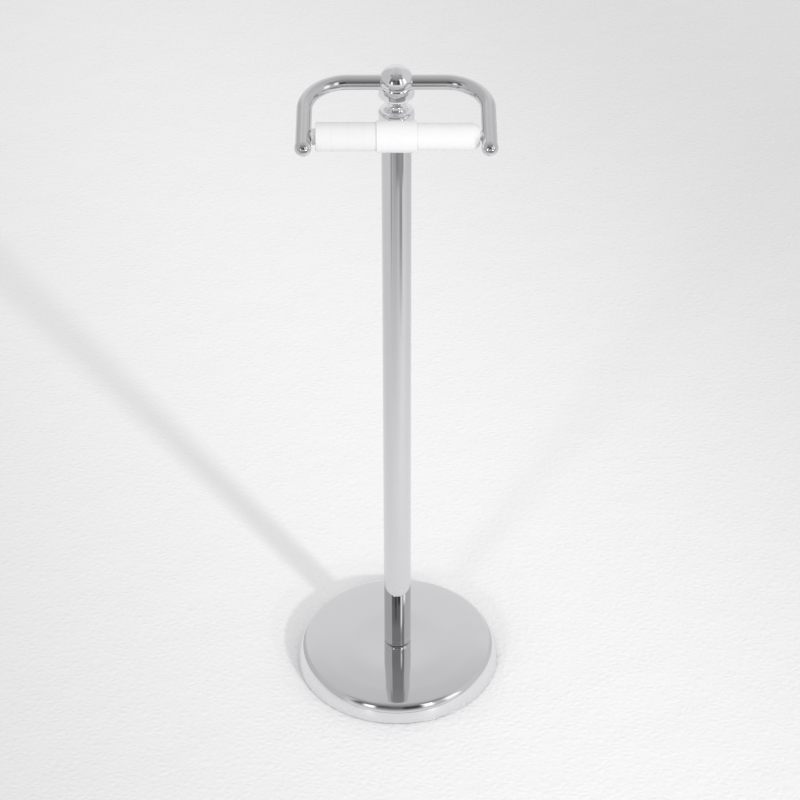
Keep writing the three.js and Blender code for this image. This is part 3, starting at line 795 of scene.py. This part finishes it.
def make_spring(material):
    seat = WIRE_RADIUS + SEAM
    start = PLUG_SHOULDER + ROLLER_WALL + seat
    end = SOCKET_TAPER - ROLLER_WALL - seat
    place = UPRIGHT @ Matrix.Translation((0, ROLLER_Y, ROLLER_Z))
    spring = sweep(
        "spring", spring_path(start, end), WIRE_RADIUS, SPRING_SIDES, place,
        material["plated_steel"], "roller_left", ["roller_spring"],
    )
    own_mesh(spring)


def dress_cad(material):
    """Materials of the CAD nodes that are kept, and softened edges on the bolt."""
    kept = {
        "base_weight": "cast_iron",
        "base_bolt": "plated_steel",
        "base_washer": "plated_steel",
        "base_lock_washer": "plated_steel",
        "foot_washer": "nylon",
        "pole_top_plug": "plated_steel",
        "hub_washer": "nylon",
        "hub_stud": "plated_steel",
    }
    for node, finish in kept.items():
        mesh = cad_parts[node].data
        mesh.materials.clear()
        mesh.materials.append(material[finish])
    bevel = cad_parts["base_bolt"].modifiers.new("edges", "BEVEL")
    bevel.width = BOLT_BEVEL * MM
    bevel.segments = 3


def ramp(tree, value, stops):
    """Smooth curve through (value, level) stops."""
    low, high = stops[0][0], stops[-1][0]
    place = remap(tree, value, low, high, 0, 1)
    node = add_node(tree, "ValToRGB", Fac=place)
    points = node.color_ramp.elements
    points[0].color = grey(stops[0][1])
    points[1].color = grey(stops[-1][1])
    for at, level in stops[1:-1]:
        points.new((at - low) / (high - low)).color = grey(level)
    return node.outputs["Color"]


def floor_material():
    """Pale studio sheet with a fine leathery grain and a painted pool of light round the object.
    In chrome it is painted darker towards the camera as shade, and painted darker in some places
    and lighter in others."""
    material = new_material("studio_floor")
    tree = material.node_tree
    swell = noise(tree, SWELL_SCALE, 4)
    creases = add_node(
        tree, "TexVoronoi", {"feature": "DISTANCE_TO_EDGE"},
        Vector=object_point(tree, GRAIN_STRETCH), Scale=GRAIN_SCALE,
    ).outputs["Distance"]
    height = maths(tree, "ADD", maths(tree, "MULTIPLY", swell, SWELL_SHARE), creases)
    normal = bump(tree, height, GRAIN_DEPTH)
    spot = add_node(tree, "TexCoord").outputs["Object"]
    pool = add_node(
        tree, "Mapping", {"vector_type": "TEXTURE"}, Vector=spot,
        Location=POOL_CENTRE, Rotation=(0, 0, math.radians(POOL_TURN)), Scale=POOL_SIZE,
    ).outputs["Vector"]
    # Painted pool of light: the colour fades from the bright pool round the object to the darker
    # sheet.
    painted_pool_fade = remap(tree, distance(tree, pool), 0, 1, 0, 1, True)
    colour = mix_colour(tree, painted_pool_fade, PAINTED_POOL_COLOUR, SHADED_SHEET_COLOUR)
    place = add_node(tree, "SeparateXYZ", Vector=spot).outputs
    # Painted shade that only the chrome shows: the floor is darker in front and in the listed
    # places, lighter at the sides.
    ahead = maths(tree, "MULTIPLY", place["Y"], -1.0)
    painted_mirror_level = ramp(tree, ahead, PAINTED_MIRROR_SHADE)
    side = maths(tree, "DEGREES", maths(tree, "ARCTAN2", place["X"], ahead))
    away = distance(tree, spot)
    for sides, reach, level, soft in PAINTED_MIRROR_PLACES:
        mask = window(tree, side, away, sides, reach, (FLOOR_PLACE_SOFTNESS, soft))
        painted_mirror_level = mix_value(tree, mask, painted_mirror_level, level)
    glossy = add_node(tree, "LightPath").outputs["Is Glossy Ray"]
    painted_mirror_factor = mix_value(tree, glossy, 1.0, painted_mirror_level)
    colour = mix_colour(tree, painted_mirror_factor, grey(0), colour)
    return surface(
        material, Base_Color=colour, Roughness=0.55, Normal=normal, Specular_IOR_Level=0.12,
    )


def make_floor():
    mesh = bpy.data.meshes.new("floor")
    disc = bmesh.new()
    bmesh.ops.create_circle(disc, cap_ends=True, segments=FLOOR_SEGMENTS, radius=FLOOR_RADIUS)
    disc.to_mesh(mesh)
    disc.free()
    mesh.materials.append(floor_material())
    floor = bpy.data.objects.new("floor", mesh)
    bpy.context.scene.collection.objects.link(floor)


def window(tree, across, up, sides, levels, softness):
    """Mask of the places between two values across and two values up, with soft edges."""
    mask = None
    for value, (low, high), soft in zip((across, up), (sides, levels), softness):
        rise = remap(tree, value, low - soft, low + soft, 0, 1, True)
        fall = remap(tree, value, high - soft, high + soft, 1, 0, True)
        both = maths(tree, "MULTIPLY", rise, fall)
        mask = both if mask is None else maths(tree, "MULTIPLY", mask, both)
    return mask


def make_world():
    """Studio round the object: pale walls, a dark room behind the camera, and panels beside it."""
    world = bpy.data.worlds.new("studio")
    bpy.context.scene.world = world
    world.use_nodes = True
    tree = world.node_tree
    tree.nodes.clear()
    direction = add_node(tree, "TexCoord").outputs["Generated"]
    split = add_node(tree, "SeparateXYZ", Vector=direction).outputs
    back = maths(tree, "MULTIPLY", split["Y"], -1.0)
    azimuth = maths(tree, "DEGREES", maths(tree, "ARCTAN2", split["X"], back))
    elevation = maths(tree, "DEGREES", maths(tree, "ARCSINE", split["Z"]))
    light = ramp(tree, elevation, WALL_LIGHT)
    room = ramp(tree, elevation, ROOM_LIGHT)
    for sides, levels, level, soft in PANELS:
        mask = window(tree, azimuth, elevation, sides, levels, (soft, soft))
        light = mix_value(tree, mask, light, room if level == ROOM else level)
    path = add_node(tree, "LightPath").outputs
    for kind in ("Is Diffuse Ray", "Is Camera Ray"):
        light = mix_value(tree, path[kind], light, PLAIN_LIGHT)
    sky = add_node(tree, "Background", Color=light, Strength=1.0)
    add_node(tree, "OutputWorld", Surface=sky.outputs[0])


def place_lamp(data, place, aim):
    lamp = bpy.data.objects.new(data.name, data)
    lamp.location = place
    lamp.rotation_euler = (Vector(aim) - Vector(place)).to_track_quat("-Z", "Y").to_euler()
    bpy.context.scene.collection.objects.link(lamp)
    return lamp


def make_lamp(name, place, power):
    """Small lamp head, close by: it gives the hot spots on the chrome."""
    data = bpy.data.lights.new(name, "AREA")
    data.size = LAMP_SIZE
    data.energy = power
    place_lamp(data, place, LAMP_AIM)


def make_beam(name, azimuth, elevation, strength, spread):
    """Even light from one side: it gives the shadows."""
    data = bpy.data.lights.new(name, "SUN")
    data.angle = math.radians(spread)
    data.energy = strength
    side, height = math.radians(azimuth), math.radians(elevation)
    across = BEAM_DISTANCE * math.cos(height)
    place = (across * math.sin(side), -across * math.cos(side), BEAM_DISTANCE * math.sin(height))
    place_lamp(data, place, (0, 0, 0)).visible_glossy = False


def make_camera():
    data = bpy.data.cameras.new("camera")
    data.sensor_width = CAMERA_SENSOR
    data.lens = CAMERA_LENS
    data.clip_start, data.clip_end = CAMERA_RANGE
    camera = bpy.data.objects.new("camera", data)
    camera.matrix_world = (
        Matrix.Translation(CAMERA_PLACE)
        @ Matrix.Rotation(math.radians(CAMERA_HEADING), 4, "Z")
        @ Matrix.Rotation(math.radians(CAMERA_TILT), 4, "X")
        @ Matrix.Rotation(math.radians(CAMERA_ROLL), 4, "Z")
    )
    bpy.context.scene.collection.objects.link(camera)
    bpy.context.scene.camera = camera


materials = {
    "chrome_base": chrome("chrome_base", CHROME_LEVELS["base"], BASE_HAIRLINES, spun=True),
    "chrome_pole": chrome("chrome_pole", CHROME_LEVELS["pole"]),
    "chrome_hub": chrome("chrome_hub", CHROME_LEVELS["hub"]),
    "chrome_yoke": chrome("chrome_yoke", CHROME_LEVELS["yoke"]),
    "plated_steel": plated_steel("plated_steel"),
    "cast_iron": cast_iron("cast_iron"),
    "soft_pad": foam("soft_pad"),
    "nylon": nylon("nylon"),
    "white_plastic": white_plastic("white_plastic", SOCKET_WHITE, 0.0),
    "white_plastic_plug": white_plastic("white_plastic_plug", PLUG_WHITE, PLUG_RING_PAINTED_SHADE),
}
make_base(materials)
make_pole(materials)
make_hub(materials)
make_yoke(materials)
make_roller(materials)
make_spring(materials)
dress_cad(materials)
make_floor()
make_world()
for name, (place, power) in LAMPS.items():
    make_lamp(name, place, power)
for name, (azimuth, elevation, strength, spread) in BEAMS.items():
    make_beam(name, azimuth, elevation, strength, spread)
make_camera()

bpy.context.scene.view_settings.view_transform = "Standard"
